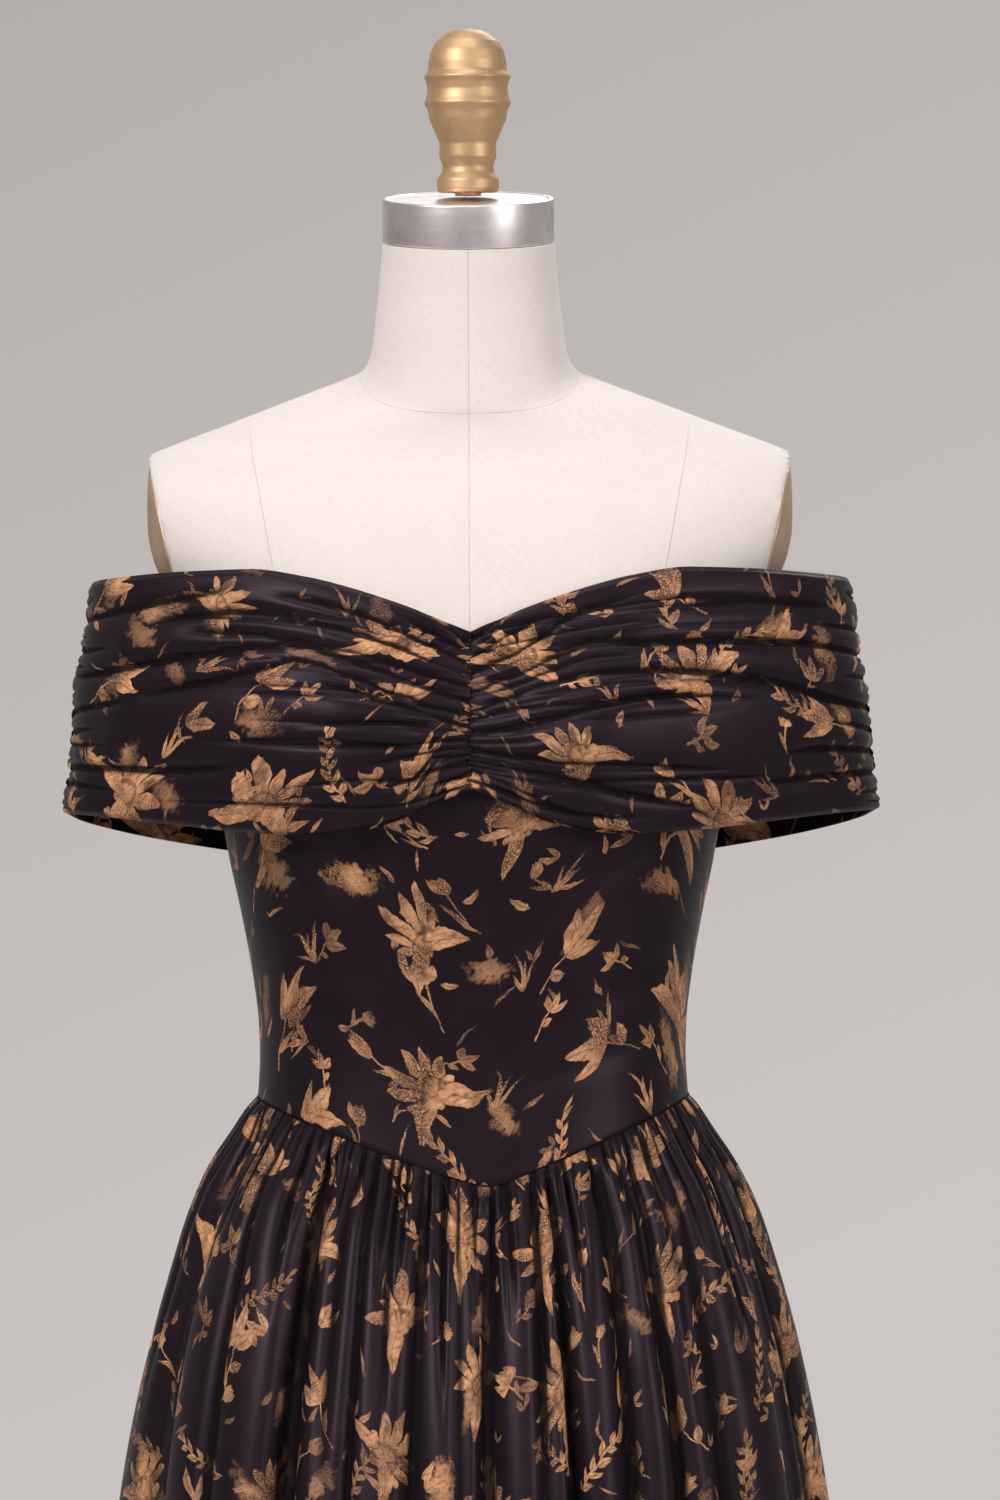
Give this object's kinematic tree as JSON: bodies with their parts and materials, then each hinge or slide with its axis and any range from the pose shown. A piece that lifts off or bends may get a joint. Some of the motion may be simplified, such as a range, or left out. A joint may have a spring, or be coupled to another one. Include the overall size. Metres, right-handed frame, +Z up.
{
  "type": "off-shoulder dress on a limbless dress form",
  "caption": "Floor-length off-shoulder dress with a ruched band, fitted bodice, pointed waist and gathered skirt, on a limbless dress form with a pole and a round base.",
  "frame": {"origin": "on the floor under the middle of the base, in line with the pole", "axes": "+Z up, -Y to the front of the dress, +X to the viewer's right in the picture, which is the wearer's left"},
  "size_m": [0.6966, 0.6197, 1.7103],
  "materials": {
    "dress_cloth": "soft satin, near-black aubergine with a bronze floral print",
    "zip_tape": "woven tape",
    "form_linen": "fine cream linen",
    "cap_steel": "brushed",
    "gold_wood": "turned wood with a satin gold paint",
    "stand_steel": "satin grey paint"
  },
  "bodies": {
    "root": {"arm_plate_left": "gold_wood", "arm_plate_right": "gold_wood", "back_zip": "zip_tape", "band_back_left": "dress_cloth", "band_back_right": "dress_cloth", "band_front_left": "dress_cloth", "band_front_right": "dress_cloth", "bodice_back_left": "dress_cloth", "bodice_back_right": "dress_cloth", "bodice_front": "dress_cloth", "finial": "gold_wood", "form_torso": "form_linen", "neck_cap": "cap_steel", "skirt_back_left": "dress_cloth", "skirt_back_right": "dress_cloth", "skirt_front": "dress_cloth", "stand_base": "stand_steel", "stand_pole": "stand_steel"}
  },
  "joints": []
}
